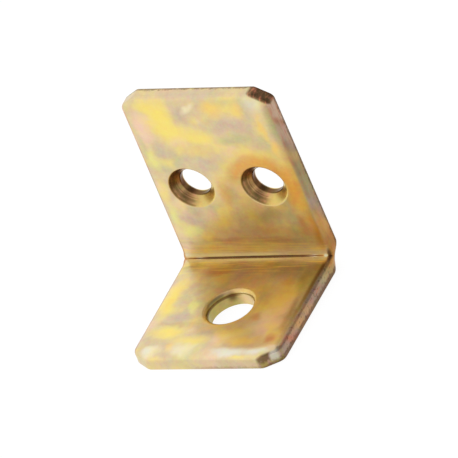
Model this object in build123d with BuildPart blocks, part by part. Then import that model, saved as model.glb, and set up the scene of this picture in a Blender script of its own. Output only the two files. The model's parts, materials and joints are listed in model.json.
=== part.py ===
from build123d import *

import os
from math import cos, radians

# Angle bracket folded from one piece of thick steel sheet, in millimetres.
# X runs along the fold, Y towards the wall and Z up. The origin is the centre of the bolt hole
# on the underside of the shelf leg, so the bracket stands on that leg.

# Sheet and legs, measured over the outside of the fold
width = 30.0
sheet = 3.0
wall_leg = 39.2
shelf_leg = 30.4

# Sheared edges: drawn over on the inner face, broken on the outer face
edge_roll = 1.0
edge_break = 0.2

# Free corners: a crisp clip on the wall leg, a wider and softer one on the shelf leg.
# The ease is what is left of a clip's rounding on the inner face, inside the drawn edge.
clip_width = 3.2
clip_height = 2.0
clip_ease = 0.3
corner_width = 3.4
corner_depth = 2.4
corner_ease = 1.0

# Fold: a sharp inner crease, a full outer bend and keystone-shaped ends,
# where the squeezed inside swells and the stretched outside draws in
bend_radius = 4.5
fold_bulge = 0.35
fold_neck = 0.85
fold_roll = 0.55

# Thin line pressed into the crease, deepest half-way along
crease_margin = 2.5
crease_depth = 0.5
crease_width = 0.4

# Two countersunk screw holes in the wall leg, with their axes at a margin from its sides
screw_hole = 5.8
screw_head = 8.7
screw_rim = 0.5
screw_margin = 7.7
screw_height = 18.9
screw_cone_angle = 75.0

# One bolt hole in the shelf leg, punched from the inner face
bolt_hole = 8.6
bolt_setback = 16.5
bolt_lip = 0.9

# Where the fold's sections stand, from the end of the wall leg to the crease
fan_shares = (0.0, 0.25, 0.5, 0.75, 1.0)
crease_share = fan_shares[-1]

# Places worked out from the sizes above
half_width = width / 2
wall_face = bolt_setback
wall_inner = wall_face - sheet
front_end = wall_face - shelf_leg
fold_start = wall_face - bend_radius
clip_round = edge_roll + clip_ease
corner_round = edge_roll + corner_ease
half_crease = half_width - crease_margin
screw_spacing = width - 2 * screw_margin


def fold_turn(share):
    """Angle in degrees at a share of the way from the wall leg to the middle of the right-angle fold."""
    return share * 45


def fold_plane(share):
    """Plane across the sheet, turned about the axis of the outer bend."""
    return Plane(origin=(0, fold_start, bend_radius)).rotated((-fold_turn(share), 0, 0))


def fold_reach(share):
    """Distance from the axis of the outer bend to the inner face, along the turned plane."""
    return (bend_radius - sheet) / cos(radians(fold_turn(share)))


def fold_section(share):
    """Keystone section of the fold: wide at the crease, narrow on the stretched outside."""
    swell = (1 - cos(4 * radians(fold_turn(share)))) / 2
    inner_half = half_width + fold_bulge * swell
    outer_half = half_width - fold_neck * swell
    inner_roll = edge_roll + (fold_roll - edge_roll) * swell
    with BuildSketch(fold_plane(share)) as section:
        with BuildLine():
            Polyline(
                (-outer_half, bend_radius),
                (outer_half, bend_radius),
                (inner_half, fold_reach(share)),
                (-inner_half, fold_reach(share)),
                close=True,
            )
        make_face()
        fillet(section.vertices().group_by(Axis.Y)[0], inner_roll)
        fillet(section.vertices().group_by(Axis.Y)[-1], edge_break)
    return section.sketch


# Wall leg: a plate with clipped upper corners and the screw holes
with BuildPart() as wall_plate:
    with BuildSketch(Plane.XZ.offset(-wall_face)) as wall_outline:
        with BuildLine():
            Polyline(
                (-half_width, bend_radius),
                (half_width, bend_radius),
                (half_width, wall_leg - clip_height),
                (half_width - clip_width, wall_leg),
                (-half_width + clip_width, wall_leg),
                (-half_width, wall_leg - clip_height),
                close=True,
            )
        make_face()
        fillet(wall_outline.vertices().group_by(Axis.Y)[1:], clip_round)
    extrude(amount=sheet)
    inner_edges = wall_plate.faces().sort_by(Axis.Y)[0].edges().sort_by(Axis.Z)[1:]
    fillet(inner_edges, edge_roll)
    outer_edges = wall_plate.faces().sort_by(Axis.Y)[-1].edges().sort_by(Axis.Z)[1:]
    fillet(outer_edges, edge_break)
    screw_line = Plane(origin=(0, wall_inner, screw_height), x_dir=(1, 0, 0), z_dir=(0, -1, 0))
    with Locations(screw_line):
        with GridLocations(screw_spacing, 0, 2, 1):
            CounterSinkHole(
                screw_hole / 2,
                screw_head / 2,
                depth=sheet,
                counter_sink_angle=screw_cone_angle,
            )
    inner_face = wall_plate.faces().filter_by(Plane.XZ).sort_by(Axis.Y)[0]
    fillet([edge for rim in inner_face.inner_wires() for edge in rim.edges()], screw_rim)

# Shelf leg: a plate with clipped front corners and the bolt hole
with BuildPart() as shelf_plate:
    with BuildSketch() as shelf_outline:
        with BuildLine():
            Polyline(
                (-half_width, fold_start),
                (half_width, fold_start),
                (half_width, front_end + corner_depth),
                (half_width - corner_width, front_end),
                (-half_width + corner_width, front_end),
                (-half_width, front_end + corner_depth),
                close=True,
            )
        make_face()
        fillet(shelf_outline.vertices().group_by(Axis.Y)[:-1], corner_round)
    extrude(amount=sheet)
    inner_edges = shelf_plate.faces().sort_by(Axis.Z)[-1].edges().sort_by(Axis.Y)[:-1]
    fillet(inner_edges, edge_roll)
    outer_edges = shelf_plate.faces().sort_by(Axis.Z)[0].edges().sort_by(Axis.Y)[:-1]
    fillet(outer_edges, edge_break)
    with Locations((0, 0, sheet)):
        Hole(bolt_hole / 2, depth=sheet)
    inner_face = shelf_plate.faces().filter_by(Plane.XY).sort_by(Axis.Z)[-1]
    fillet(inner_face.inner_wires()[0].edges(), bolt_lip)

# Fold: lofted from the wall leg to the crease, mirrored to meet the shelf leg,
# with the crease line cut by a thin blade of shallow arc whose sides start on the inner faces
crease_mouth = fold_reach(crease_share) - crease_width / 2
with BuildPart() as fold:
    loft([fold_section(share) for share in fan_shares])
    mirror(about=fold_plane(crease_share))
    with BuildSketch(fold_plane(crease_share)):
        with BuildLine():
            ThreePointArc(
                (-half_crease, crease_mouth),
                (0, fold_reach(crease_share) + crease_depth),
                (half_crease, crease_mouth),
            )
            Line((half_crease, crease_mouth), (-half_crease, crease_mouth))
        make_face()
    extrude(amount=crease_width / 2, both=True, mode=Mode.SUBTRACT)

# The whole bracket
with BuildPart() as angle_bracket:
    add(wall_plate.part)
    add(fold.part)
    add(shelf_plate.part)

os.makedirs("parts", exist_ok=True)
angle_bracket.part.label = "angle_bracket"
export_step(angle_bracket.part, "parts/angle_bracket.step")
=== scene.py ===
import json
import math
from collections import namedtuple

import bpy
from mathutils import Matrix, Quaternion, Vector


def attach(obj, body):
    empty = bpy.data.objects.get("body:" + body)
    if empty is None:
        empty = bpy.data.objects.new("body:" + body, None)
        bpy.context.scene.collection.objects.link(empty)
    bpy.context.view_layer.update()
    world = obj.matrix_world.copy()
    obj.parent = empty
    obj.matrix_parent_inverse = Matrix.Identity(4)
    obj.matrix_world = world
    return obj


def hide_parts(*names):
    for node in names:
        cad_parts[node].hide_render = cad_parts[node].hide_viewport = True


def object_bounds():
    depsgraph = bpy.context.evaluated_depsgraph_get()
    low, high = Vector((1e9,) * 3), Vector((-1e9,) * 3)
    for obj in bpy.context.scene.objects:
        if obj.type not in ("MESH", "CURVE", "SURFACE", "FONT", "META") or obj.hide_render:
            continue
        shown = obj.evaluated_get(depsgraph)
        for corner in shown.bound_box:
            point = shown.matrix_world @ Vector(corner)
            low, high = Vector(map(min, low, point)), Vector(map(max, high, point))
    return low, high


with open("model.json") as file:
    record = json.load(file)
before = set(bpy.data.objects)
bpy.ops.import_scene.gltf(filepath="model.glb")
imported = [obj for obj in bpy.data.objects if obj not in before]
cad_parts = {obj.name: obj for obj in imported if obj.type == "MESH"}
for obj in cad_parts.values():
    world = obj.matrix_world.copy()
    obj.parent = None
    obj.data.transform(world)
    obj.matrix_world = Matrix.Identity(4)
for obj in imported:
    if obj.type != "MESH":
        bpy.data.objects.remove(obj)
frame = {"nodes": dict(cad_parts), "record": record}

bl_info = {
    "name": "Plated angle bracket",
    "version": (1, 0, 0),
    "blender": (4, 5, 0),
    "location": "3D View > Sidebar > Bracket",
    "description": "Dresses a folded steel angle bracket in mottled yellow zinc plating, in a small studio",
    "category": "Object",
}

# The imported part
CAD_NODE = "angle_bracket"
CAD_BODY = "root"
CAD_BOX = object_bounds()
PIECE = "plated_bracket"

# Patterns on the sheet are laid out in millimetres
MM = 0.001
PER_MM = 1000.0

MOUNTS = {mount["name"]: mount for mount in frame["record"]["mounts"]}
BOLT_AXIS = [PER_MM * value for value in MOUNTS["bolt_hole"]["pos_m"]]
SCREW_AXES = [
    [PER_MM * value for value in MOUNTS[name]["pos_m"]]
    for name in ("screw_hole_left", "screw_hole_right")
]
LOW = [PER_MM * value for value in CAD_BOX[0]]
HIGH = [PER_MM * value for value in CAD_BOX[1]]


def linear(red, green, blue):
    """Colour written in the usual 0 to 255 of a screen, as the linear colour that a shader takes."""
    steps = [value / 255 for value in (red, green, blue)]
    return tuple(v / 12.92 if v <= 0.04045 else ((v + 0.055) / 1.055) ** 2.4 for v in steps)


def colour_property(name, description, *screen):
    return bpy.props.FloatVectorProperty(
        name=name, description=description, subtype="COLOR", size=3, min=0, max=1, default=linear(*screen)
    )


class BracketSheet(bpy.types.PropertyGroup):
    """Sizes of the detail that the refined sheet gets."""

    drawn_width: bpy.props.FloatProperty(
        name="Drawn edge width", description="How far in from its cut edges the inner face falls away",
        default=2.6 * MM, unit="LENGTH", precision=4,
    )
    front_skew: bpy.props.FloatProperty(
        name="Front skew", description="How much shorter the shelf leg is on its left than on its right",
        default=0.5 * MM, unit="LENGTH", precision=4,
    )
    merge_gap: bpy.props.FloatProperty(
        name="Merge gap", description="Corners closer than this become one",
        default=0.001 * MM, unit="LENGTH", precision=6,
    )
    smooth_angle: bpy.props.FloatProperty(
        name="Smooth angle", description="Edges sharper than this stay sharp",
        default=math.radians(32), subtype="ANGLE",
    )


class BracketFinish(bpy.types.PropertyGroup):
    """Colours of the plating as they look in even white light, and its gloss. Some colours also paint
    highlights and shade.
    """

    # Straw, tan, cream and ash also paint highlights, olive, copper and umber also paint shade, and mauve
    # partly does
    straw: colour_property("Straw", "Bright yellow of the thin film", 252, 228, 122)
    lemon: colour_property("Lemon", "Greenish yellow of the thinnest film", 238, 232, 142)
    cream: colour_property("Cream", "Pale yellow of bare patches", 246, 234, 190)
    ash: colour_property("Ash", "Pale grey of bare patches", 232, 230, 212)
    gold: colour_property("Gold", "Deeper yellow of the thicker film", 248, 212, 120)
    amber: colour_property("Amber", "Orange of the thickest film", 236, 182, 98)
    tan: colour_property("Tan", "Plain ground colour of the sheet", 224, 202, 158)
    rose: colour_property("Rose", "Pink clouds in the film", 246, 210, 178)
    lilac: colour_property("Lilac", "Grey-violet clouds in the film", 209, 186, 163)
    sage: colour_property("Sage", "Grey-green clouds in the film", 202, 196, 148)
    olive: colour_property("Olive", "Green-brown film in sheltered places", 172, 156, 86)
    russet: colour_property("Russet", "Red-brown spots", 216, 132, 98)
    copper: colour_property("Copper", "Brown film next to the fold", 196, 150, 110)
    umber: colour_property("Umber", "Dark brown in the crease", 104, 72, 42)
    mauve: colour_property("Mauve", "Grey-brown of the sheared sides", 184, 152, 132)
    roughness: bpy.props.FloatProperty(
        name="Roughness", description="Blur of reflections in the plating",
        default=0.3, min=0, max=1, subtype="FACTOR",
    )
    grain: bpy.props.FloatProperty(
        name="Grain", description="Height of the fine grain of the plating",
        default=0.004 * MM, unit="LENGTH", precision=6,
    )


class BracketStage(bpy.types.PropertyGroup):
    """Camera, floor and light."""

    azimuth: bpy.props.FloatProperty(
        name="Azimuth", description="Turn of the camera round the bracket",
        default=math.radians(36.48), subtype="ANGLE",
    )
    elevation: bpy.props.FloatProperty(
        name="Elevation", description="Height of the camera", default=math.radians(33.27), subtype="ANGLE"
    )
    roll: bpy.props.FloatProperty(
        name="Roll", description="Tilt of the camera about its view",
        default=math.radians(-23.39), subtype="ANGLE",
    )
    frame_width: bpy.props.FloatProperty(
        name="Frame width", description="Width of the picture at the bracket",
        default=0.08013, unit="LENGTH",
    )
    aim: bpy.props.FloatVectorProperty(
        name="Aim", description="Point at the middle of the picture", default=(-0.00243, 0.0122, 0.01052),
        subtype="TRANSLATION", unit="LENGTH",
    )
    camera_distance: bpy.props.FloatProperty(
        name="Camera distance", description="From the aim to the camera", default=0.4, unit="LENGTH"
    )
    floor_size: bpy.props.FloatProperty(
        name="Floor size", description="Side of the floor", default=8.0, unit="LENGTH"
    )
    floor_white: bpy.props.FloatProperty(
        name="Floor white", description="Share of plain white in what the camera sees of the floor",
        default=0.85, subtype="FACTOR",
    )
    floor_gloss: bpy.props.FloatProperty(
        name="Floor gloss", description="Share of plain glow in what the metal reflects of the floor",
        default=0.8, subtype="FACTOR",
    )
    floor_glow: bpy.props.FloatProperty(
        name="Floor glow", description="Strength of the plain glow, which makes up for the paint's shade",
        default=1.09,
    )
    surround: bpy.props.FloatProperty(
        name="Surroundings", description="Brightness of the soft surroundings", default=1.04
    )
    surround_dim: bpy.props.FloatProperty(
        name="Dim side", description="Brightness of the dim part of the surroundings", default=0.26
    )
    key_power: bpy.props.FloatProperty(
        name="Key power", description="Power of the large softbox, in watts", default=0.1
    )


class NodeBench:
    """Adds nodes to one node tree and hands back the sockets that they give."""

    column_width = 190
    row_height = 170
    rows = 6
    unseen = 1e-9

    def __init__(self, tree):
        self.tree = tree
        self.count = 0
        tree.nodes.clear()

    def add(self, kind, **settings):
        made = self.tree.nodes.new(kind)
        made.location = (
            self.column_width * (self.count // self.rows),
            -self.row_height * (self.count % self.rows),
        )
        self.count += 1
        for name, value in settings.items():
            setattr(made, name, value)
        return made

    def feed(self, socket, value):
        if isinstance(value, bpy.types.NodeSocket):
            self.tree.links.new(value, socket)
        elif hasattr(socket.default_value, "__len__") and len(value) < len(socket.default_value):
            socket.default_value = (*value, 1.0)
        else:
            socket.default_value = value

    def math(self, operation, *values):
        made = self.add("ShaderNodeMath", operation=operation)
        for socket, value in zip(made.inputs, values):
            self.feed(socket, value)
        return made.outputs[0]

    def vector(self, operation, first, second):
        made = self.add("ShaderNodeVectorMath", operation=operation)
        self.feed(made.inputs[0], first)
        self.feed(made.inputs["Scale"] if operation == "SCALE" else made.inputs[1], second)
        return made.outputs[0]

    def after(self, value, earlier):
        """The same vector, worked out once the earlier colour is, so that few values wait in the shader."""
        made = self.add("ShaderNodeVectorMath", operation="MULTIPLY_ADD")
        self.feed(made.inputs[0], earlier)
        made.inputs[1].default_value = [self.unseen] * 3
        self.feed(made.inputs[2], value)
        return made.outputs[0]

    def length(self, value):
        made = self.add("ShaderNodeVectorMath", operation="LENGTH")
        self.feed(made.inputs[0], value)
        return made.outputs["Value"]

    def dot(self, first, second):
        made = self.add("ShaderNodeVectorMath", operation="DOT_PRODUCT")
        self.feed(made.inputs[0], first)
        self.feed(made.inputs[1], second)
        return made.outputs["Value"]

    def split(self, value):
        made = self.add("ShaderNodeSeparateXYZ")
        self.feed(made.inputs[0], value)
        return made.outputs

    def join(self, x, y, z):
        made = self.add("ShaderNodeCombineXYZ")
        for socket, value in zip(made.inputs, (x, y, z)):
            self.feed(socket, value)
        return made.outputs[0]

    def noise(self, place, size, detail=2.0):
        """Noise whose features are about size across, in the units of place."""
        made = self.add("ShaderNodeTexNoise")
        self.feed(made.inputs["Vector"], place)
        made.inputs["Scale"].default_value = 1 / size
        made.inputs["Detail"].default_value = detail
        return made.outputs

    def fade(self, value, start, end):
        """0 at start and 1 at end, with a smooth step between them."""
        made = self.add("ShaderNodeMapRange", interpolation_type="SMOOTHSTEP")
        self.feed(made.inputs["Value"], value)
        made.inputs["From Min"].default_value = start
        made.inputs["From Max"].default_value = end
        return made.outputs[0]

    def mix(self, factor, first, second, blend="MIX"):
        made = self.add("ShaderNodeMix", data_type="RGBA", blend_type=blend)
        self.feed(made.inputs["Factor"], factor)
        colours = [socket for socket in made.inputs if socket.type == "RGBA"]
        self.feed(colours[0], first)
        self.feed(colours[1], second)
        return next(socket for socket in made.outputs if socket.type == "RGBA")

    def all_of(self, first, *others):
        """Product of covers: 1 only where every one of them is."""
        for other in others:
            first = self.math("MULTIPLY", first, other)
        return first

    def none_of(self, cover):
        """0 where the cover is 1, and 1 where it is 0."""
        return self.math("SUBTRACT", 1.0, cover)

    def span(self, value, start, full, last, end):
        """1 from full to last, with a smooth step to 0 at start and at end."""
        return self.all_of(self.fade(value, start, full), self.fade(value, end, last))

    def around(self, value, middle, far, close):
        """1 within close of the middle, with a smooth step to 0 at far from it."""
        return self.fade(self.math("ABSOLUTE", self.math("SUBTRACT", value, middle)), far, close)

    def place_of(self, value, centre, size, turn=0.0):
        """The point value as seen from centre, turned in the leg's plane and measured in sizes."""
        made = self.add("ShaderNodeMapping", vector_type="TEXTURE")
        self.feed(made.inputs["Vector"], value)
        made.inputs["Location"].default_value = centre
        made.inputs["Rotation"].default_value = (0, 0, turn)
        made.inputs["Scale"].default_value = size
        return made.outputs[0]


# One stain in the plating, or one painted highlight: its middle and half size in millimetres, its colour and
# strength, and its turn.
# Places are across the leg and along it, upwards from the shelf's underside or towards the wall.
Bloom = namedtuple("Bloom", "across along half_across half_along colour strength turn", defaults=(0.0,))

WALL_BLOOMS = (
    Bloom(-7.4, 35.0, 3.0, 4.4, "straw", 0.95),
    Bloom(-6.6, 31.6, 4.4, 2.8, "straw", 0.9),
    Bloom(-1.6, 30.2, 4.0, 2.2, "straw", 0.85),
    Bloom(-10.4, 37.4, 2.4, 1.4, "straw", 0.6),
    Bloom(-12.2, 34.0, 1.8, 3.2, "rose", 0.7),
    Bloom(-11.6, 30.6, 1.6, 2.0, "rose", 0.7),
    Bloom(-13.8, 29.0, 0.9, 6.0, "sage", 0.5),
    Bloom(-3.4, 35.4, 2.6, 2.5, "lilac", 0.95),
    Bloom(-1.7, 36.7, 1.6, 0.8, "cream", 0.8, turn=0.6),
    Bloom(3.3, 36.4, 2.8, 2.2, "gold", 0.95, turn=0.1),
    Bloom(8.2, 36.2, 1.3, 2.2, "gold", 0.85),
    Bloom(11.8, 37.2, 2.2, 2.2, "ash", 0.45),
    Bloom(4.4, 32.6, 4.4, 1.7, "lilac", 0.75, turn=0.15),
    Bloom(9.0, 32.2, 2.2, 2.0, "lilac", 0.6),
    Bloom(5.5, 29.6, 4.8, 1.5, "sage", 0.9),
    Bloom(-9.6, 27.2, 2.2, 2.0, "lilac", 0.6),
    Bloom(-2.8, 27.0, 3.6, 1.6, "gold", 0.5),
    Bloom(-12.6, 25.6, 1.2, 2.8, "lemon", 0.7),
    Bloom(12.0, 31.6, 0.8, 3.0, "gold", 0.8),
    Bloom(14.0, 31.8, 1.0, 4.0, "sage", 0.85),
    Bloom(12.8, 27.4, 1.2, 1.9, "gold", 0.9),
    Bloom(13.0, 19.5, 1.3, 6.0, "amber", 0.9),
    Bloom(14.4, 20.5, 1.0, 7.0, "amber", 0.8),
    Bloom(12.3, 15.4, 1.6, 2.8, "gold", 0.7),
    Bloom(-1.0, 17.6, 1.5, 3.6, "amber", 0.6),
    Bloom(1.2, 22.0, 1.6, 2.6, "sage", 0.5),
    Bloom(-0.3, 18.2, 1.8, 2.6, "olive", 0.3),
    Bloom(-13.0, 18.0, 1.2, 3.4, "straw", 0.5),
    Bloom(-13.0, 12.6, 1.2, 2.6, "lemon", 0.7),
    Bloom(-11.2, 9.0, 2.4, 1.2, "lemon", 0.7),
    Bloom(-10.4, 11.6, 2.2, 1.6, "lilac", 0.8),
    Bloom(-9.0, 14.0, 1.6, 1.2, "sage", 0.5),
    Bloom(-5.6, 12.4, 2.0, 1.6, "rose", 0.6),
    Bloom(5.0, 12.6, 4.4, 1.9, "olive", 0.3),
    Bloom(12.0, 11.4, 0.8, 1.4, "russet", 0.45),
    Bloom(12.0, 9.2, 1.2, 1.8, "russet", 0.3),
    Bloom(4.8, 9.4, 3.2, 1.4, "amber", 0.4),
    Bloom(1.0, 5.4, 10.0, 1.7, "straw", 0.6),
    Bloom(-5.0, 6.8, 4.8, 0.9, "copper", 0.5),
    Bloom(5.0, 6.6, 5.2, 1.0, "copper", 0.5),
    Bloom(-8.5, 5.0, 3.8, 0.8, "gold", 0.7),
    Bloom(0.0, 4.5, 5.0, 0.6, "gold", 0.6),
    Bloom(-13.4, 4.8, 1.6, 1.6, "rose", 0.7),
    Bloom(14.2, 7.4, 1.3, 5.0, "amber", 0.95),
)

SHELF_BLOOMS = (
    Bloom(-12.6, 2.0, 1.8, 6.0, "straw", 0.95),
    Bloom(-12.8, 0.8, 1.0, 1.8, "gold", 0.5),
    Bloom(-9.6, 5.6, 1.6, 2.0, "lilac", 0.6),
    Bloom(-8.6, -2.6, 3.2, 2.0, "lilac", 0.9),
    Bloom(-9.6, -6.6, 4.2, 1.7, "straw", 0.8),
    Bloom(-7.2, 0.2, 0.9, 2.8, "lemon", 0.8, turn=0.4),
    Bloom(-4.0, -9.4, 4.2, 1.6, "straw", 0.7),
    # Pale cream and ash along the front drawn edge are painted highlights, not stains
    Bloom(-11.0, -11.8, 2.2, 1.5, "cream", 0.9),
    Bloom(-12.0, -11.8, 1.5, 1.2, "ash", 0.7),
    Bloom(-7.4, -11.0, 0.9, 1.3, "gold", 0.7),
    # Painted highlight along the front drawn edge
    Bloom(-4.8, -11.6, 3.0, 1.6, "cream", 0.85),
    Bloom(1.4, -8.8, 1.4, 2.0, "rose", 0.6),
    # Painted highlights along the front drawn edge
    Bloom(5.0, -12.4, 3.8, 1.0, "ash", 0.8),
    Bloom(10.5, -12.4, 2.6, 1.0, "ash", 0.8),
    Bloom(6.4, -9.4, 4.6, 1.5, "gold", 0.95),
    Bloom(12.2, -9.2, 1.2, 1.4, "russet", 0.6),
    Bloom(6.6, -3.4, 1.3, 1.1, "russet", 0.5),
    Bloom(-6.8, 9.6, 3.0, 1.3, "russet", 0.6),
    Bloom(-4.6, 7.4, 1.6, 1.4, "gold", 0.6),
    Bloom(9.4, 2.6, 2.8, 5.0, "gold", 0.7),
    Bloom(9.2, 6.6, 1.6, 1.6, "amber", 0.5),
    Bloom(-12.0, 11.4, 2.4, 1.4, "olive", 0.6),
    Bloom(12.2, 7.0, 1.2, 3.0, "olive", 0.6),
    Bloom(13.4, 10.4, 0.9, 1.5, "russet", 0.6),
    Bloom(4.0, 12.0, 5.4, 1.0, "olive", 0.5),
    Bloom(-3.0, 12.2, 3.2, 0.9, "copper", 0.6),
    Bloom(13.2, -2.0, 0.9, 5.4, "copper", 0.6),
    Bloom(-1.0, -6.0, 2.6, 1.2, "gold", 0.5),
    Bloom(4.4, -7.4, 3.6, 1.8, "straw", 0.7),
    Bloom(-10.0, -13.8, 3.2, 0.7, "straw", 0.9),
    Bloom(-1.6, -13.8, 2.4, 0.7, "rose", 0.6),
    Bloom(7.0, -13.8, 2.6, 0.7, "straw", 0.9),
    Bloom(-8.6, -4.6, 4.4, 0.7, "copper", 0.3),
)

# Stains on the sheared sides. Places are along the bent strip, from below zero on the shelf leg to the top
# of the wall leg, and into the sheet from the inner face.
SIDE_BLOOMS = (
    Bloom(33.6, 1.5, 5.2, 3.0, "rose", 0.95),
    Bloom(30.8, 1.5, 1.2, 3.0, "russet", 0.6),
    Bloom(22.6, 1.5, 2.6, 3.0, "gold", 0.6),
    Bloom(27.8, 1.5, 2.8, 3.0, "rose", 0.7),
    Bloom(17.5, 1.8, 4.4, 3.0, "olive", 0.7),
    Bloom(16.5, 1.4, 4.4, 2.0, "sage", 0.5),
    Bloom(12.2, 0.8, 1.8, 1.0, "lilac", 0.7),
    Bloom(7.0, 1.5, 4.4, 3.0, "amber", 0.9),
    Bloom(0.0, 1.5, 4.6, 3.0, "amber", 0.95),
    Bloom(-5.0, 1.2, 2.8, 1.6, "sage", 0.85),
    Bloom(-14.6, 1.5, 2.2, 3.0, "amber", 0.4),
    Bloom(-18.7, 1.5, 1.9, 3.0, "amber", 0.6),
    Bloom(-22.3, 1.5, 1.6, 3.0, "russet", 0.8),
    Bloom(-27.0, 1.0, 1.5, 2.0, "ash", 0.5),
)

# How far a stain goes into the sheet, and the sizes from its middle at which it ends and is full
STAIN_DEPTH = 1.5
STAIN_FADE = (1.35, 0.15)

# Shape of the sheet in millimetres, for finishes that follow its edges
HALF_WIDTH = 15.0
SHEET = 3.0
EDGE_ROLL = 1.0
WALL_INNER = HIGH[1] - SHEET
WALL_CLIP = (3.2, 2.0)
SHELF_CLIP = (3.4, 2.4)
SCREW_RIM = 4.55
SCREW_BORE = MOUNTS["screw_hole_left"]["dims"]["r_mm"]
BOLT_RIM = 5.2
BOLT_BORE = MOUNTS["bolt_hole"]["dims"]["r_mm"]

# Below, a pair of values says where a finish starts and where it is full, and four values say where
# it starts, is full, is last full and ends. They are in millimetres, or values of the noise that it follows.

# Parts of the sheet: its inner faces by depth, its right half, and the sides of each leg along the strip
INNER_FACE = (1.2, 0.4)
RIGHT_HALF = (-2.0, 2.0)
SHELF_SIDE = (-1.0, -3.0)
WALL_SIDE = (1.0, 3.0)

# Wandering that keeps clouds and stains from being round
WANDER_SIZE = 3.0
WANDER_DETAIL = 1.5
WANDER_REACH = 2.2
NOISE_MIDDLE = (0.5, 0.5, 0.5)


class Sheet:
    """Coordinates of the sheet at the shaded point, in millimetres.

    reach is the distance from the crease along either inner face, and depth goes into the sheet from there.
    strip runs along the bent sheet, below zero on the shelf leg and above it on the wall leg.
    side, top, front and the clips are distances past one cut edge, and outline is the largest of them:
    all are below zero on the sheet. adrift is the place after some wandering.
    """

    def __init__(self, bench):
        self.place = bench.vector("SCALE", bench.add("ShaderNodeTexCoord").outputs["Object"], PER_MM)
        self.x, self.y, self.z = bench.split(self.place)
        behind = bench.math("SUBTRACT", self.y, WALL_INNER)
        under = bench.math("SUBTRACT", SHEET, self.z)
        self.depth = bench.math("MAXIMUM", behind, under)
        self.reach = bench.math("MULTIPLY", bench.math("MINIMUM", behind, under), -1.0)
        self.strip = bench.math("SUBTRACT", behind, under)
        self.inner = bench.fade(self.depth, *INNER_FACE)
        self.right = bench.fade(self.x, *RIGHT_HALF)
        self.shelf_side = bench.fade(self.strip, *SHELF_SIDE)
        self.side = bench.math("SUBTRACT", bench.math("ABSOLUTE", self.x), HALF_WIDTH)
        self.top = bench.math("SUBTRACT", self.z, HIGH[2])
        self.front = bench.math("SUBTRACT", LOW[1], self.y)
        self.wall_clip = self.clip(bench, self.top, WALL_CLIP)
        self.shelf_clip = self.clip(bench, self.front, SHELF_CLIP)
        self.outline = self.side
        for other in (self.top, self.front, self.wall_clip, self.shelf_clip):
            self.outline = bench.math("MAXIMUM", self.outline, other)
        wander = bench.noise(self.place, WANDER_SIZE, WANDER_DETAIL)["Color"]
        wander = bench.vector("SUBTRACT", wander, NOISE_MIDDLE)
        self.adrift = bench.vector("ADD", self.place, bench.vector("SCALE", wander, WANDER_REACH))

    def clip(self, bench, end, size):
        """Millimetres past the clipped corner of one leg, whose end lies at zero of the value end."""
        across, up = Vector((size[1], size[0])).normalized()
        return bench.math(
            "ADD",
            bench.math("MULTIPLY", bench.math("ADD", self.side, size[0]), across),
            bench.math("MULTIPLY", end, up),
        )


def tint(bench, cover, film, colour, share):
    """Mixes a share of a colour into the film where cover is 1."""
    return bench.mix(bench.math("MULTIPLY", cover, share), film, colour)


def bloom(bench, place, ground, stain, finish):
    """Mixes one stain, or one painted highlight, into the ground colour."""
    seen = bench.place_of(
        bench.after(place, ground),
        (stain.across, stain.along, 0.0),
        (stain.half_across, stain.half_along, STAIN_DEPTH),
        stain.turn,
    )
    cover = bench.fade(bench.length(seen), *STAIN_FADE)
    return tint(bench, cover, ground, getattr(finish, stain.colour), stain.strength)


# Two layers of clouds: their size, a shift that sets the layers apart, and their colours,
# each with the noise at which it starts and is full, and its strength
CLOUDS = (
    (7.0, (0.0, 0.0, 0.0), (("rose", 0.5, 0.72, 0.8), ("sage", 0.5, 0.28, 0.7))),
    (5.0, (31.0, 17.0, 53.0), (("straw", 0.46, 0.76, 0.7), ("lilac", 0.5, 0.28, 0.6))),
)


def ground_film(bench, sheet, finish):
    """Soft clouds of film over the plain ground colour."""
    film = finish.tan
    for size, shift, colours in CLOUDS:
        cloud = bench.noise(bench.vector("ADD", sheet.adrift, shift), size)["Fac"]
        for colour, start, full, share in colours:
            film = tint(bench, bench.fade(cloud, start, full), film, getattr(finish, colour), share)
    return film


# Burnt rings over the right screw hole: where each starts, is strongest and ends, its colour and strength.
# They lie above the hole and to its right, and end some way above the fold.
RIGHT_RINGS = ((5.8, 7.6, 9.8, "straw", 0.5), (2.6, 5.4, 8.2, "amber", 0.85))
RINGS_ABOVE = (0.0, 3.0)
RINGS_ASIDE = (3.0, 5.0)
RINGS_FOOT = (8.0, 12.0)


def leg_stains_and_highlights(bench, sheet, film, finish):
    """Stains on the inner faces of both legs, painted highlights along the shelf leg's front edge, and the
    burnt rings over the right screw hole.
    """
    across, towards_wall, up = bench.split(sheet.adrift)
    on_wall = bench.join(across, up, bench.math("SUBTRACT", sheet.y, WALL_INNER))
    for stain in WALL_BLOOMS:
        film = bloom(bench, on_wall, film, stain, finish)
    on_shelf = bench.join(across, towards_wall, bench.math("SUBTRACT", sheet.z, SHEET))
    for stain in SHELF_BLOOMS:
        film = bloom(bench, on_shelf, film, stain, finish)
    hole_x, _, hole_z = SCREW_AXES[1]
    height = bench.math("SUBTRACT", up, hole_z)
    aside = bench.math("SUBTRACT", across, hole_x)
    ring = bench.length(bench.join(aside, height, 0.0))
    above_shelf = bench.math("SUBTRACT", sheet.z, SHEET)
    over = bench.math("MAXIMUM", bench.fade(height, *RINGS_ABOVE), bench.fade(aside, *RINGS_ASIDE))
    over = bench.all_of(over, sheet.inner, bench.fade(above_shelf, *RINGS_FOOT))
    for start, middle, end, colour, share in RIGHT_RINGS:
        band = bench.all_of(bench.span(ring, start, middle, middle, end), over)
        film = tint(bench, band, film, getattr(finish, colour), share)
    return film


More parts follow.
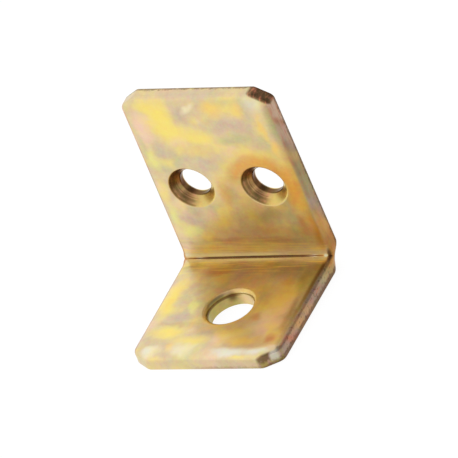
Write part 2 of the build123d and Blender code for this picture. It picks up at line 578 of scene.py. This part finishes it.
# Painted shade towards the fold, first on both legs and then on the shelf leg alone: its distances from the
# crease, where it starts on the left, its least cover on the wall leg, and its shade. It clears beside the
# crease.
FOLD_SHADES = (
    (17.0, 8.0, -15.0, 1.0, (0.86, 0.83, 0.80)),
    (9.5, 3.0, -11.0, 0.0, (0.62, 0.58, 0.62)),
)
FOLD_SHADE_RISE = 8.0
FOLD_CLEAR = (0.2, 3.0)
FOLD_TURN = (0.3, -0.3)

# Lines that bending leaves: their length and width, how far from the crease they go, and their colours,
# each with the noise at which it starts and is full, and its strength
BEND_LINE = (9.0, 0.5)
BEND_REACH = (6.0, 1.0)
BEND_COLOURS = (("gold", 0.5, 0.65, 0.6), ("copper", 0.5, 0.35, 0.3))

# Painted highlights beside the crease: the leg, the distances at which each starts, is full and ends, and its
# colour
CREASE_HIGHLIGHTS = (
    ("shelf", 0.0, 0.4, 1.3, "tan"),
    ("wall", 0.1, 0.6, 1.6, "tan"),
    ("wall_left", 0.1, 0.55, 1.3, "cream"),
)
CREASE_HIGHLIGHT_SHARE = 0.8
CREASE_HIGHLIGHT_LEFT = (7.0, 1.0)

# Painted shade in the crease, lighter towards its ends: four values along the crease, the strength and the
# colour
CREASE_SHADES = (
    (-14.6, -13.6, 12.8, 13.6, 0.9, "copper"),
    (-14.0, -11.0, 9.0, 13.4, 0.95, "umber"),
)
CREASE_WIDTH = (0.2, 0.06)
CREASE_DEPTH = (1.2, 0.9)


def fold_film_and_shade(bench, sheet, film, finish):
    """Painted shade towards the fold, with the lines that bending leaves, painted highlights beside the
    crease and painted shade in the crease between them.
    """
    on_shelf = bench.fade(sheet.strip, *FOLD_TURN)
    clear = bench.fade(sheet.reach, *FOLD_CLEAR)
    # Painted shade towards the fold
    for far, close, left, low, shade in FOLD_SHADES:
        near = bench.all_of(
            bench.fade(sheet.reach, far, close),
            sheet.inner,
            clear,
            bench.fade(sheet.x, left, left + FOLD_SHADE_RISE),
            bench.math("MAXIMUM", on_shelf, low),
        )
        film = bench.mix(near, film, shade, "MULTIPLY")
    length, width = BEND_LINE
    lines = bench.join(bench.math("DIVIDE", sheet.x, length), bench.math("DIVIDE", sheet.reach, width), 0.0)
    lines = bench.noise(lines, 1.0)["Fac"]
    bent = bench.all_of(bench.fade(sheet.reach, *BEND_REACH), sheet.inner)
    for colour, start, full, share in BEND_COLOURS:
        line = bench.all_of(bent, bench.fade(lines, start, full))
        film = tint(bench, line, film, getattr(finish, colour), share)
    on_wall = bench.none_of(on_shelf)
    wall_left = bench.all_of(on_wall, bench.fade(sheet.x, *CREASE_HIGHLIGHT_LEFT))
    legs = {"shelf": on_shelf, "wall": on_wall, "wall_left": wall_left}
    # Painted highlights beside the crease
    for leg, start, middle, end, colour in CREASE_HIGHLIGHTS:
        line = bench.all_of(bench.span(sheet.reach, start, middle, middle, end), legs[leg], sheet.inner)
        film = tint(bench, line, film, getattr(finish, colour), CREASE_HIGHLIGHT_SHARE)
    crease = bench.all_of(bench.fade(sheet.reach, *CREASE_WIDTH), bench.fade(sheet.depth, *CREASE_DEPTH))
    # Painted shade in the crease
    for start, full, last, end, share, colour in CREASE_SHADES:
        crease_shaded = bench.all_of(crease, bench.span(sheet.x, start, full, last, end))
        film = tint(bench, crease_shaded, film, getattr(finish, colour), share)
    return film


# Painted shade on the drawn edges of the right side: distances from the side and, along the shelf leg, from
# the crease
EDGE_SHADE_BAND = (-3.4, -1.0)
EDGE_SHADE_REACH = (26.0, 8.0)
ROLLED_EDGE = (-2.2, -0.9)
ROLLED_SHADE = (0.86, 0.83, 0.76)
SHADE_LINE = (-1.5, -0.9, -0.7, -0.3)
SHADE_LINE_REACH = (30.0, 2.0)


def right_edge_shade(bench, sheet, film, finish):
    """Painted shade on the drawn edges of the right side: an olive band with a dark line on the shelf leg,
    and a darker, browner edge on the wall leg.
    """
    on_shelf = bench.all_of(sheet.right, sheet.shelf_side)
    # Olive band of painted shade on the shelf leg
    olive = bench.all_of(
        on_shelf, bench.fade(sheet.side, *EDGE_SHADE_BAND), bench.fade(sheet.reach, *EDGE_SHADE_REACH)
    )
    film = tint(bench, olive, film, finish.olive, share=0.65)
    on_wall = bench.all_of(sheet.right, bench.fade(sheet.strip, *WALL_SIDE), sheet.inner)
    # Painted shade on the wall leg's rolled edge
    rolled = bench.all_of(on_wall, bench.fade(sheet.side, *ROLLED_EDGE))
    film = bench.mix(rolled, film, ROLLED_SHADE, "MULTIPLY")
    # Dark line of painted shade on the shelf leg
    line = bench.all_of(
        on_shelf, bench.span(sheet.side, *SHADE_LINE), bench.fade(sheet.reach, *SHADE_LINE_REACH)
    )
    return tint(bench, line, film, finish.umber, share=0.75)


# Sheared sides: the length and width of their streaks, the streaks' colours as for the bend lines,
# the specks of the shelf leg, and the painted shade by the fold
STREAK = (4.0, 0.7)
STREAK_COLOURS = (("russet", 0.54, 0.7, 0.5), ("copper", 0.46, 0.3, 0.5))
SPECK_SIZE = 0.6
SPECK_FADE = (0.55, 0.7)
FOLD_SIDE = (9.0, 1.0)
FOLD_SIDE_SHADE = (0.84, 0.71, 0.53)


def sheared_film_and_shade(bench, sheet, film, finish):
    """Film of the sheared sides, partly their own grey-brown and partly painted shade, worked out once the
    film of the faces is. Gives it and its specks.
    """
    _, towards_wall, up = bench.split(sheet.adrift)
    along = bench.math("SUBTRACT", bench.math("ADD", towards_wall, up), WALL_INNER + SHEET)
    on_side = bench.join(along, sheet.depth, sheet.side)
    # Grey-brown ground of the sides: partly their own colour, partly painted shade
    brown = bench.mix(0.0, finish.mauve, film)
    for stain in SIDE_BLOOMS:
        brown = bloom(bench, on_side, brown, stain, finish)
    length, width = STREAK
    streaks = bench.join(
        bench.math("DIVIDE", sheet.strip, length), bench.math("DIVIDE", sheet.depth, width), sheet.side
    )
    streaks = bench.noise(streaks, 1.0)["Fac"]
    for colour, start, full, share in STREAK_COLOURS:
        brown = tint(bench, bench.fade(streaks, start, full), brown, getattr(finish, colour), share)
    specks = bench.noise(bench.after(sheet.place, brown), SPECK_SIZE)["Fac"]
    dark = bench.all_of(bench.fade(specks, *SPECK_FADE), sheet.shelf_side)
    brown = tint(bench, dark, brown, finish.umber, share=0.5)
    # Painted shade on the sides next to the fold
    brown = bench.mix(bench.fade(sheet.reach, *FOLD_SIDE), brown, FOLD_SIDE_SHADE, "MULTIPLY")
    return brown, specks


# Where the cut edges start and are full, by their distances past the outline
SIDE_EDGE = (-0.8, -0.25)
END_EDGE = (-0.6, -0.1)
WALL_CLIP_EDGE = (-0.6, -0.2)
SHELF_CLIP_EDGE = (-0.7, -0.2)

# Hatching of the wall leg's clip, and the shelf leg's clip, with painted shade on its left and a painted
# highlight further right
HATCH_SIZE = 0.5
HATCH_DEPTH = 3.0
HATCH_FADE = (0.45, 0.75)
FACET_FADE = (0.4, 0.6)
SPECK_DEPTH = 1.2
CLIP_SHADE_LEFT = (13.4, 12.8)
CLIP_SHADE_DEPTH = (2.8, 2.0)
CLIP_HIGHLIGHT_SPAN = (12.9, 13.4, 14.2, 14.8)
CLIP_HIGHLIGHT_DEPTH = (3.0, 2.2)

# Torn burr along the outer edge, wider on the shelf leg's right side and weaker in front
BURR_DEPTH = (2.75, 3.4)
BURR_EDGE = (-0.35, -0.15)
BURR_TEAR = 0.5
BURR_FRONT = (-0.4, -0.1)
BURR_FRONT_LOSS = 0.6


def cut_film_and_shade(bench, sheet, film, finish):
    """Sheared sides, ends and clips, browner than the faces, partly their own colour and partly painted
    shade, with painted shade and a painted highlight on the shelf leg's clip. Gives the film and where the
    sheet is cut.
    """
    brown, specks = sheared_film_and_shade(bench, sheet, film, finish)
    sides = bench.fade(sheet.side, *SIDE_EDGE)
    film = tint(bench, sides, film, brown, share=0.95)
    ends = bench.fade(bench.math("MAXIMUM", sheet.top, sheet.front), *END_EDGE)
    film = tint(bench, ends, film, finish.lilac, share=0.4)

    wall_clip = bench.all_of(bench.fade(sheet.wall_clip, *WALL_CLIP_EDGE), sheet.right)
    hatch = bench.join(sheet.x, bench.math("DIVIDE", sheet.depth, HATCH_DEPTH), 0.0)
    hatch = bench.fade(bench.noise(hatch, HATCH_SIZE)["Fac"], *HATCH_FADE)
    film = tint(bench, wall_clip, film, bench.mix(hatch, finish.umber, finish.russet), share=0.9)

    shelf_clip = bench.all_of(bench.fade(sheet.shelf_clip, *SHELF_CLIP_EDGE), sheet.right)
    facet = bench.mix(bench.fade(specks, *FACET_FADE), finish.olive, finish.mauve)
    deep = bench.math("ADD", sheet.depth, bench.math("MULTIPLY", specks, SPECK_DEPTH))
    # Painted shade on the left of the shelf leg's clip
    clip_shade = bench.all_of(bench.fade(sheet.x, *CLIP_SHADE_LEFT), bench.fade(deep, *CLIP_SHADE_DEPTH))
    facet = tint(bench, clip_shade, facet, finish.umber, share=0.85)
    # Painted highlight further right on the shelf leg's clip
    bare = bench.all_of(bench.span(sheet.x, *CLIP_HIGHLIGHT_SPAN), bench.fade(deep, *CLIP_HIGHLIGHT_DEPTH))
    facet = tint(bench, bare, facet, finish.ash, share=0.7)
    film = tint(bench, shelf_clip, film, facet, share=0.9)

    tear = bench.all_of(sheet.right, sheet.shelf_side, bench.math("MULTIPLY", sides, BURR_TEAR))
    torn = bench.math("ADD", deep, tear)
    in_front = bench.math("MULTIPLY", bench.fade(sheet.front, *BURR_FRONT), BURR_FRONT_LOSS)
    burr = bench.all_of(
        bench.fade(torn, *BURR_DEPTH), bench.fade(sheet.outline, *BURR_EDGE), bench.none_of(in_front)
    )
    film = tint(bench, burr, film, finish.umber, share=0.7)
    return film, bench.math("MAXIMUM", bench.math("MAXIMUM", wall_clip, shelf_clip), sides)


# Countersinks: their rim, depth and least height, and the walls of their bores
CONE_RIM = (SCREW_RIM, SCREW_RIM - 0.3)
CONE_DEPTH = (SHEET - 0.05, SHEET - 0.3)
CONE_FOOT = (8.0, 9.0)
SCREW_WALL = (SCREW_BORE + 0.2, SCREW_BORE + 0.05)

# Their side with painted shade and their side with a painted highlight: the way that each looks from the
# axis, and where it starts and is full
CONE_SHADE_WAY = (-1.0, 0.2, 0.0)
CONE_SHADE = (-0.4, 1.8)
CONE_HIGHLIGHT_WAY = (1.0, 0.3, 0.0)
CONE_HIGHLIGHT = (1.5, 3.5)

# Marks of turning, in dark colours that paint shade on that side: spots, fine rings, a share of red, and two
# grooves at these radii
SPOT_SIZE = 1.4
SPOT_REACH = 1.6
SPOT_FADE = (0.54, 0.68)
RING_SIZE = 0.3
RING_WANDER = 0.5
RING_FADE = (0.34, 0.54)
TURNED_RED = 0.2
GROOVES = (4.25, 3.75)
GROOVE_WIDTH = (0.22, 0.08)


def screw_film_and_shade(bench, sheet, axis, film, finish):
    """One countersink, with turned rings in dark colours as painted shade on one side and a painted highlight
    on the other.
    """
    from_axis = bench.join(
        bench.math("SUBTRACT", sheet.x, axis[0]), bench.math("SUBTRACT", sheet.z, axis[2]), 0.0
    )
    radius = bench.length(from_axis)
    cone = bench.all_of(
        bench.fade(radius, *CONE_RIM), bench.fade(sheet.z, *CONE_FOOT), bench.fade(sheet.depth, *CONE_DEPTH)
    )
    spots = bench.noise(sheet.place, SPOT_SIZE)["Fac"]
    # Side of the cone with painted shade
    left = bench.math("ADD", bench.dot(from_axis, CONE_SHADE_WAY), bench.math("MULTIPLY", spots, SPOT_REACH))
    left = bench.fade(left, *CONE_SHADE)
    rings = bench.join(radius, bench.math("MULTIPLY", spots, RING_WANDER), 0.0)
    rings = bench.fade(bench.noise(rings, RING_SIZE)["Fac"], *RING_FADE)
    turned_shade = bench.mix(rings, finish.umber, finish.copper)
    turned_shade = bench.mix(TURNED_RED, turned_shade, finish.russet)
    turned_shade = tint(bench, bench.fade(spots, *SPOT_FADE), turned_shade, finish.olive, share=0.6)
    for middle in GROOVES:
        groove = bench.around(radius, middle, *GROOVE_WIDTH)
        turned_shade = tint(bench, groove, turned_shade, finish.umber, share=0.8)
    cone_glint = bench.fade(bench.dot(from_axis, CONE_HIGHLIGHT_WAY), *CONE_HIGHLIGHT)
    film = tint(bench, cone, film, finish.gold, share=0.75)
    film = tint(bench, cone, film, finish.olive, share=0.38)
    # Painted highlight
    film = tint(bench, bench.all_of(cone, cone_glint), film, finish.straw, share=0.75)
    # Painted shade
    film = tint(bench, bench.all_of(cone, left), film, turned_shade, share=0.82)
    bore = bench.all_of(cone, bench.fade(radius, *SCREW_WALL))
    return tint(bench, bore, film, finish.umber, share=0.9)


# Brown round the bolt hole
HALO_REACH = (9.5, 6.5)
HALO_LEFT = (-8.0, -3.0)
HALO_SHADE = (0.85, 0.79, 0.70)

# The bolt hole's side with painted shade, as for the countersinks, and the wall of its bore
BOLT_SHADE_WAY = (-0.9, 0.45, 0.0)
BOLT_SHADE = (1.0, 3.2)
BOLT_WALL = (BOLT_BORE + 0.25, BOLT_BORE + 0.05)

# Its lip on the other side, in gold toned down with painted shade, with a pale seam of painted highlight, and
# a dark rim of painted shade on the shaded side.
# The seam and the rim have the depth of their middle and how far from it they end and are full.
LIP_REACH = (BOLT_RIM + 0.7, BOLT_RIM - 0.3)
LIP_DEPTH = (1.0, 0.8)
LIP_SHADE = (0.94, 0.92, 0.88)
SEAM_REACH = (BOLT_RIM, BOLT_RIM - 0.4)
SEAM_DEPTH = (0.7, 0.4, 0.15)
RIM_REACH = (BOLT_RIM, BOLT_RIM - 0.3)
RIM_DEPTH = (0.85, 0.4, 0.15)

# A spot of painted shade where the shaded side ends
BORE_SHADE_PLACE = (-1.6, 4.1, 1.9)
BORE_SHADE_SIZE = (0.9, 0.9, 1.0)
BORE_SHADE_FADE = (1.5, 0.2)


def bolt_film_and_shade(bench, sheet, film, finish):
    """The bolt hole, with painted shade on one side, green-brown in the bore and a dark rim, and a gold lip
    with a painted highlight on the other.
    """
    from_bolt = bench.join(
        bench.math("SUBTRACT", sheet.x, BOLT_AXIS[0]), bench.math("SUBTRACT", sheet.y, BOLT_AXIS[1]), 0.0
    )
    radius = bench.length(from_bolt)
    halo = bench.all_of(bench.fade(radius, *HALO_REACH), bench.fade(sheet.x, *HALO_LEFT), sheet.inner)
    film = bench.mix(halo, film, HALO_SHADE, "MULTIPLY")
    # Side of the hole with painted shade, and the other side
    left = bench.fade(bench.dot(from_bolt, BOLT_SHADE_WAY), *BOLT_SHADE)
    right = bench.none_of(left)
    # Lip toned down with painted shade
    lip = bench.all_of(bench.fade(radius, *LIP_REACH), bench.fade(sheet.depth, *LIP_DEPTH), right)
    film = tint(bench, lip, film, finish.gold, share=0.6)
    film = bench.mix(lip, film, LIP_SHADE, "MULTIPLY")
    # Painted highlight on the lip's seam
    seam = bench.all_of(bench.around(sheet.depth, *SEAM_DEPTH), bench.fade(radius, *SEAM_REACH), right)
    film = tint(bench, seam, film, finish.cream, share=0.85)
    bore = bench.fade(radius, *BOLT_WALL)
    film = tint(bench, bore, film, finish.gold, share=0.4)
    # Green-brown painted shade on the shaded side of the bore
    film = tint(bench, bench.all_of(bore, left), film, finish.olive, share=0.85)
    # Rim of painted shade
    rim = bench.all_of(bench.around(sheet.depth, *RIM_DEPTH), left, bench.fade(radius, *RIM_REACH))
    film = tint(bench, rim, film, finish.umber, share=0.8)
    # Spot of painted shade
    bore_shade = bench.place_of(sheet.place, BORE_SHADE_PLACE, BORE_SHADE_SIZE)
    return tint(bench, bench.fade(bench.length(bore_shade), *BORE_SHADE_FADE), film, finish.umber, share=0.8)


# Right end of the crease: a painted shadow and a painted highlight beside it, by their place along it and
# their size
FOLD_END_SHADE_AND_HIGHLIGHT = (
    (14.5, (0.45, 1.5, 1.5), "umber"),
    (13.7, (0.45, 0.5, 0.5), "ash"),
)
FOLD_END_FADE = (1.2, 0.5)


def fold_end_shadow_and_highlight(bench, sheet, film, finish):
    """Painted shadow and painted highlight at the right end of the crease."""
    for across, size, colour in FOLD_END_SHADE_AND_HIGHLIGHT:
        seen = bench.place_of(sheet.place, (across, WALL_INNER, SHEET), size)
        cover = bench.fade(bench.length(seen), *FOLD_END_FADE)
        film = tint(bench, cover, film, getattr(finish, colour), share=0.85)
    return film


# Flecks all over, by size and strength
FLECKS = ((1.3, 0.2), (0.4, 0.14))

# Grain of the plating, and the marks of the shear, drawn out into the sheet and higher by these factors
GRAIN_SIZE = 0.3
SHEAR_SIZE = 0.4
SHEAR_DEPTH = 5.0
SHEAR_HEIGHT = 6

# Duller places: the cut edges, and the wall leg beside the fold
CUT_ROUGHNESS = 0.1
BENT_ROUGHNESS = 0.2
BENT_REACH = (6.0, 2.0)
BENT_WALL = (0.0, 0.6)


def plating_material(finish):
    """Yellow passivated zinc on steel: a metal whose film changes colour in clouds, streaks and stains, with
    painted shade and painted highlights on it.
    """
    material = bpy.data.materials.new("yellow_zinc_plating")
    material.use_nodes = True
    bench = NodeBench(material.node_tree)
    sheet = Sheet(bench)
    film = ground_film(bench, sheet, finish)
    film = leg_stains_and_highlights(bench, sheet, film, finish)
    film = fold_film_and_shade(bench, sheet, film, finish)
    film = right_edge_shade(bench, sheet, film, finish)
    film, cut = cut_film_and_shade(bench, sheet, film, finish)
    for axis in SCREW_AXES:
        film = screw_film_and_shade(bench, sheet, axis, film, finish)
    film = bolt_film_and_shade(bench, sheet, film, finish)
    film = fold_end_shadow_and_highlight(bench, sheet, film, finish)
    for size, share in FLECKS:
        flecks = bench.noise(bench.after(sheet.place, film), size)["Color"]
        film = bench.mix(share, film, flecks, "OVERLAY")

    grain = bench.noise(sheet.place, GRAIN_SIZE)["Fac"]
    grain = bench.math("MULTIPLY", grain, finish.grain)
    shear = bench.join(sheet.x, sheet.strip, bench.math("DIVIDE", sheet.depth, SHEAR_DEPTH))
    shear = bench.all_of(cut, bench.noise(shear, SHEAR_SIZE)["Fac"], SHEAR_HEIGHT * finish.grain)
    bump = bench.add("ShaderNodeBump")
    bump.inputs["Distance"].default_value = 1.0
    bench.feed(bump.inputs["Height"], bench.math("ADD", grain, shear))

    shader = bench.add("ShaderNodeBsdfPrincipled")
    bench.feed(shader.inputs["Base Color"], film)
    shader.inputs["Metallic"].default_value = 1.0
    bent = bench.all_of(bench.fade(sheet.reach, *BENT_REACH), bench.fade(sheet.strip, *BENT_WALL))
    dull = bench.math(
        "ADD", bench.math("MULTIPLY", cut, CUT_ROUGHNESS), bench.math("MULTIPLY", bent, BENT_ROUGHNESS)
    )
    bench.feed(shader.inputs["Roughness"], bench.math("ADD", dull, finish.roughness))
    bench.feed(shader.inputs["Normal"], bump.outputs[0])
    output = bench.add("ShaderNodeOutputMaterial")
    bench.tree.links.new(shader.outputs[0], output.inputs["Surface"])
    return material


def only(piece):
    """Leaves one object selected and active."""
    bpy.ops.object.select_all(action="DESELECT")
    piece.select_set(True)
    bpy.context.view_layer.objects.active = piece


# Drawn edges: shares of their width at which lines are cut into the sheet, how close the corners of those
# lines become one, and the share of the sheet's thickness that moves
RING_SHARES = (1.25, 1.0, 0.86, 0.72, 0.6, 0.5, 0.41)
RING_GAP = 0.002 * MM
DRAWN_SHARE = 0.6

# The shelf leg's front runs out of square from here on
SKEW_START = BOLT_AXIS[1] - BOLT_RIM

# Groups of vertices that are moved
WALL_EDGE = "wall_edge"
SHELF_EDGE = "shelf_edge"
LEFT_FRONT = "left_front"


def outline_planes():
    """A point and the outward normal, in millimetres, of every flat side of the sheet's cut outline."""
    ends = (Vector((0, 0, HIGH[2])), Vector((0, LOW[1], 0)))
    planes = [(end, end.normalized()) for end in ends]
    for hand in (-1, 1):
        side = Vector((hand * HALF_WIDTH, 0, 0))
        planes.append((side, Vector((hand, 0, 0))))
        for end, size in zip(ends, (WALL_CLIP, SHELF_CLIP)):
            outwards = end.normalized()
            start = side + end - outwards * size[1]
            planes.append((start, (Vector((hand * size[1], 0, 0)) + outwards * size[0]).normalized()))
    return planes


def drop(inset, width):
    """How far, in millimetres, the inner face lies below the solid's round edge at an inset from the outline.

    The drawn edge becomes a quarter of an ellipse: as high as the round one, but width across.
    """
    shares = [1 - min(max(inset, 0) / reach, 1) for reach in (width, EDGE_ROLL)]
    wide, narrow = (EDGE_ROLL * (1 - math.sqrt(1 - share * share)) for share in shares)
    return wide - narrow


def move_by_weight(piece, group, axis, distance):
    """Moves the vertices of a named group along one axis, each by its weight's share of some millimetres.

    Groups go by name, because applying a modifier makes earlier references to them invalid.
    """
    moved = piece.modifiers.new(group, "DISPLACE")
    moved.direction = axis
    moved.mid_level = 0
    moved.strength = distance * MM
    moved.vertex_group = group
    if moved.vertex_group != group:
        raise RuntimeError(f"{piece.name} has no vertex group {group}")
    bpy.ops.object.modifier_apply(modifier=moved.name)


def skew_front(piece, skew):
    """Shortens the shelf leg towards its left front corner."""
    left_front = piece.vertex_groups.new(name=LEFT_FRONT)
    for vertex in piece.data.vertices:
        place = vertex.co * PER_MM
        near = (SKEW_START - place.y) / (SKEW_START - LOW[1])
        if near > 0:
            left = (HALF_WIDTH - place.x) / (2 * HALF_WIDTH)
            left_front.add([vertex.index], near * min(max(left, 0), 1), "REPLACE")
    move_by_weight(piece, LEFT_FRONT, "Y", skew)


def draw_edges(piece, width):
    """Cuts lines along the outline into the sheet and lowers them to the shape of a drawn edge."""
    planes = outline_planes()
    bpy.ops.object.mode_set(mode="EDIT")
    for share in RING_SHARES:
        for point, outwards in planes:
            bpy.ops.mesh.select_all(action="SELECT")
            cut = point - outwards * width * share
            bpy.ops.mesh.bisect(plane_co=cut * MM, plane_no=outwards)
    bpy.ops.mesh.select_all(action="SELECT")
    bpy.ops.mesh.remove_doubles(threshold=RING_GAP)
    bpy.ops.object.mode_set(mode="OBJECT")

    on_wall = piece.vertex_groups.new(name=WALL_EDGE)
    on_shelf = piece.vertex_groups.new(name=SHELF_EDGE)
    for vertex in piece.data.vertices:
        place = vertex.co * PER_MM
        behind = place.y - WALL_INNER
        under = SHEET - place.z
        reach = -min(behind, under)
        if reach <= 0 or max(behind, under) > DRAWN_SHARE * SHEET:
            continue
        inset = min((point - place).dot(outwards) for point, outwards in planes)
        lower = drop(inset, width) * min(reach / width, 1)
        if lower > 0:
            leg = on_wall if behind > under else on_shelf
            leg.add([vertex.index], lower / EDGE_ROLL, "REPLACE")
    move_by_weight(piece, WALL_EDGE, "Y", EDGE_ROLL)
    move_by_weight(piece, SHELF_EDGE, "Z", -EDGE_ROLL)


def past_solid(piece):
    """How far the piece reaches past the solid's box at most, in metres."""
    past = 0.0
    for axis in range(3):
        places = [vertex.co[axis] for vertex in piece.data.vertices]
        past = max(past, CAD_BOX[0][axis] - min(places), max(places) - CAD_BOX[1][axis])
    return past


class ANGLEBRACKET_OT_sheet(bpy.types.Operator):
    """Make the plated sheet from a merged copy of the bracket's solid"""

    bl_idname = "angle_bracket.sheet"
    bl_label = "Plated sheet"

    def execute(self, context):
        settings = context.scene.bracket_sheet
        piece = bpy.data.objects.new(PIECE, frame["nodes"][CAD_NODE].data.copy())
        piece.data.name = PIECE
        context.collection.objects.link(piece)
        only(piece)
        bpy.ops.mesh.customdata_custom_splitnormals_clear()
        bpy.ops.object.mode_set(mode="EDIT")
        bpy.ops.mesh.select_all(action="SELECT")
        bpy.ops.mesh.remove_doubles(threshold=settings.merge_gap)
        bpy.ops.object.mode_set(mode="OBJECT")
        draw_edges(piece, PER_MM * settings.drawn_width)
        skew_front(piece, PER_MM * settings.front_skew)
        piece.vertex_groups.clear()
        if past_solid(piece) > settings.merge_gap:
            raise RuntimeError(f"{PIECE} reaches past the solid")
        bpy.ops.object.shade_smooth_by_angle(angle=settings.smooth_angle)
        piece.data.materials.clear()
        piece.data.materials.append(plating_material(context.scene.bracket_finish))
        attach(piece, CAD_BODY)
        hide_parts(CAD_NODE)
        return {"FINISHED"}


# Floor, in metres: how far it lies below the bracket, its paint, and where and how much it dims on the right
FLOOR_DROP = 0.02 * MM
FLOOR_PAINT = (0.92, 0.92, 0.92, 1.0)
FLOOR_DIM = (-0.01, 0.05)
FLOOR_DIM_LOSS = 0.57


def floor_material(settings):
    """Pale floor: plain white to the camera but for a soft shadow, and dimmer on the right to the metal."""
    material = bpy.data.materials.new("pale_floor")
    material.use_nodes = True
    bench = NodeBench(material.node_tree)
    rays = bench.add("ShaderNodeLightPath").outputs
    seen = bench.math("MAXIMUM", rays["Is Camera Ray"], rays["Is Transmission Ray"])
    mirrored = rays["Is Glossy Ray"]
    share = bench.math(
        "ADD",
        bench.math("MULTIPLY", seen, settings.floor_white),
        bench.math("MULTIPLY", mirrored, settings.floor_gloss),
    )
    across = bench.split(bench.add("ShaderNodeTexCoord").outputs["Object"])[0]
    dim = bench.math("MULTIPLY", bench.fade(across, *FLOOR_DIM), mirrored)
    paint = bench.add("ShaderNodeBsdfDiffuse")
    paint.inputs["Color"].default_value = FLOOR_PAINT
    glow = bench.add("ShaderNodeEmission")
    strength = bench.math("SUBTRACT", settings.floor_glow, bench.math("MULTIPLY", dim, FLOOR_DIM_LOSS))
    bench.feed(glow.inputs["Strength"], strength)
    both = bench.add("ShaderNodeMixShader")
    bench.feed(both.inputs[0], share)
    bench.tree.links.new(paint.outputs[0], both.inputs[1])
    bench.tree.links.new(glow.outputs[0], both.inputs[2])
    output = bench.add("ShaderNodeOutputMaterial")
    bench.tree.links.new(both.outputs[0], output.inputs["Surface"])
    return material


# Dim patch of the surroundings: the way to it, and how near to that and how high up it starts and is full
DIM_WAY = (0.8, 0.15, 0.55)
DIM_SPREAD = (0.45, 0.75)
DIM_HEIGHT = (0.1, 0.4)


def studio_world(scene, settings):
    """Soft white surroundings with a dim patch high on the right. The camera sees plain white."""
    world = bpy.data.worlds.new("soft_studio")
    world.use_nodes = True
    scene.world = world
    bench = NodeBench(world.node_tree)
    towards = bench.add("ShaderNodeTexCoord").outputs["Generated"]
    near = bench.dot(towards, Vector(DIM_WAY).normalized())
    height = bench.split(towards)[2]
    dim = bench.all_of(bench.fade(near, *DIM_SPREAD), bench.fade(height, *DIM_HEIGHT))
    loss = settings.surround - settings.surround_dim
    strength = bench.math("SUBTRACT", settings.surround, bench.math("MULTIPLY", dim, loss))
    strength = bench.math("MAXIMUM", strength, bench.add("ShaderNodeLightPath").outputs["Is Camera Ray"])
    background = bench.add("ShaderNodeBackground")
    background.inputs["Color"].default_value = (1.0, 1.0, 1.0, 1.0)
    bench.feed(background.inputs["Strength"], strength)
    output = bench.add("ShaderNodeOutputWorld")
    bench.tree.links.new(background.outputs[0], output.inputs["Surface"])


# Softbox, in metres: the way to it from the aim, its distance and its side
KEY_WAY = (-0.5, -0.55, 0.67)
KEY_DISTANCE = 0.55
KEY_SIZE = 0.8

# Nearest and farthest that the camera sees, in metres
CLIP_START = 0.01
CLIP_END = 20


class ANGLEBRACKET_OT_stage(bpy.types.Operator):
    """Set up the floor, the softbox, the surroundings and the camera"""

    bl_idname = "angle_bracket.stage"
    bl_label = "Studio stage"

    def execute(self, context):
        scene = context.scene
        settings = scene.bracket_stage
        bpy.ops.object.select_all(action="DESELECT")
        bpy.ops.mesh.primitive_plane_add(size=settings.floor_size, location=(0, 0, -FLOOR_DROP))
        floor = context.object
        floor.name = "floor"
        floor.data.materials.append(floor_material(settings))

        aim = Vector(settings.aim)
        towards_key = Vector(KEY_WAY).normalized()
        bpy.ops.object.light_add(
            type="AREA",
            location=aim + towards_key * KEY_DISTANCE,
            rotation=towards_key.to_track_quat("Z", "Y").to_euler(),
        )
        key = context.object
        key.name = "key_softbox"
        key.data.size = KEY_SIZE
        key.data.energy = settings.key_power
        key.visible_camera = False

        studio_world(scene, settings)

        level = math.cos(settings.elevation)
        towards_camera = Vector((
            math.sin(settings.azimuth) * level,
            -math.cos(settings.azimuth) * level,
            math.sin(settings.elevation),
        ))
        turn = towards_camera.to_track_quat("Z", "Y") @ Quaternion((0, 0, 1), settings.roll)
        bpy.ops.object.camera_add(
            location=aim + towards_camera * settings.camera_distance, rotation=turn.to_euler()
        )
        camera = context.object
        camera.data.type = "ORTHO"
        camera.data.ortho_scale = settings.frame_width
        camera.data.clip_start = CLIP_START
        camera.data.clip_end = CLIP_END
        scene.camera = camera
        scene.view_settings.view_transform = "Standard"
        return {"FINISHED"}


class ANGLEBRACKET_PT_panel(bpy.types.Panel):
    """Sidebar panel of the bracket's pieces and settings"""

    bl_label = "Angle bracket"
    bl_space_type = "VIEW_3D"
    bl_region_type = "UI"
    bl_category = "Bracket"

    def draw(self, context):
        scene = context.scene
        for operator, settings in (
            (ANGLEBRACKET_OT_sheet, (scene.bracket_sheet, scene.bracket_finish)),
            (ANGLEBRACKET_OT_stage, (scene.bracket_stage,)),
        ):
            box = self.layout.box()
            box.operator(operator.bl_idname)
            for group in settings:
                for name in group.__annotations__:
                    box.prop(group, name)


CLASSES = (
    BracketSheet,
    BracketFinish,
    BracketStage,
    ANGLEBRACKET_OT_sheet,
    ANGLEBRACKET_OT_stage,
    ANGLEBRACKET_PT_panel,
)
SETTINGS = {"bracket_sheet": BracketSheet, "bracket_finish": BracketFinish, "bracket_stage": BracketStage}


def register():
    for item in CLASSES:
        bpy.utils.register_class(item)
    for name, group in SETTINGS.items():
        setattr(bpy.types.Scene, name, bpy.props.PointerProperty(type=group))


def unregister():
    for name in SETTINGS:
        delattr(bpy.types.Scene, name)
    for item in reversed(CLASSES):
        bpy.utils.unregister_class(item)


def main():
    register()
    bpy.ops.angle_bracket.sheet()
    bpy.ops.angle_bracket.stage()


if __name__ == "__main__":
    main()
